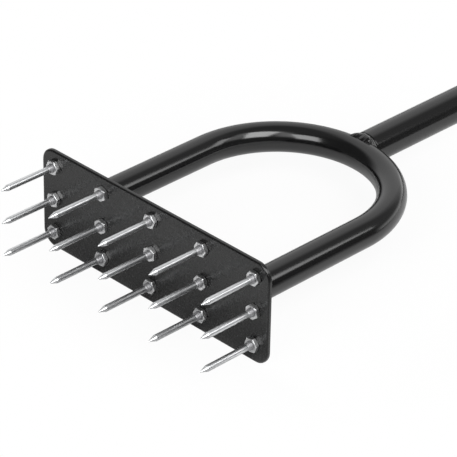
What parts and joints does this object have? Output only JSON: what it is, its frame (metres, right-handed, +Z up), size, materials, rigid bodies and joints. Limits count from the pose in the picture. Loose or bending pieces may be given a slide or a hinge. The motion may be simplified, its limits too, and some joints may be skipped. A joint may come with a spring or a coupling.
{
  "type": "hand lawn aerator",
  "caption": "Long-handled turf tool: a flat plate carries rows of straight round spikes held by nuts, a U-shaped tube yoke joins it to a bolted tube handle with a rubber-gripped crossbar.",
  "frame": {"origin": "centre of the tool's box on the floor that it lies on", "axes": "+X from the spikes along the handle to the crossbar, +Y to the plate's left end seen from the handle's side facing the plate, +Z up from the floor"},
  "size_m": [0.9006, 0.29, 0.1016],
  "materials": {
    "plate_coat": "satin",
    "tube_coat": "satin",
    "weld_coat": "satin",
    "zinc_spikes": "satin",
    "zinc_fasteners": "satin",
    "grip_rubber": "matte"
  },
  "bodies": {
    "root": {"head_plate": "plate_coat", "yoke_tube": "tube_coat", "yoke_weld_left": "weld_coat", "yoke_weld_right": "weld_coat", "handle_weld_upper": "weld_coat", "handle_weld_lower": "weld_coat", "lower_handle_tube": "tube_coat", "upper_handle_tube": "tube_coat", "handle_bolts": "zinc_fasteners", "handle_washers": "zinc_fasteners", "handle_nuts": "zinc_fasteners", "crossbar_tube": "tube_coat", "crossbar_weld": "weld_coat", "left_grip": "grip_rubber", "right_grip": "grip_rubber", "front_nuts": "zinc_fasteners", "rear_nuts": "zinc_fasteners", "spike_r1_c1": "zinc_spikes", "spike_r1_c2": "zinc_spikes", "spike_r1_c3": "zinc_spikes", "spike_r1_c4": "zinc_spikes", "spike_r1_c5": "zinc_spikes", "spike_r2_c1": "zinc_spikes", "spike_r2_c2": "zinc_spikes", "spike_r2_c3": "zinc_spikes", "spike_r2_c4": "zinc_spikes", "spike_r2_c5": "zinc_spikes", "spike_r3_c1": "zinc_spikes", "spike_r3_c2": "zinc_spikes", "spike_r3_c3": "zinc_spikes", "spike_r3_c4": "zinc_spikes", "spike_r3_c5": "zinc_spikes"}
  },
  "joints": []
}
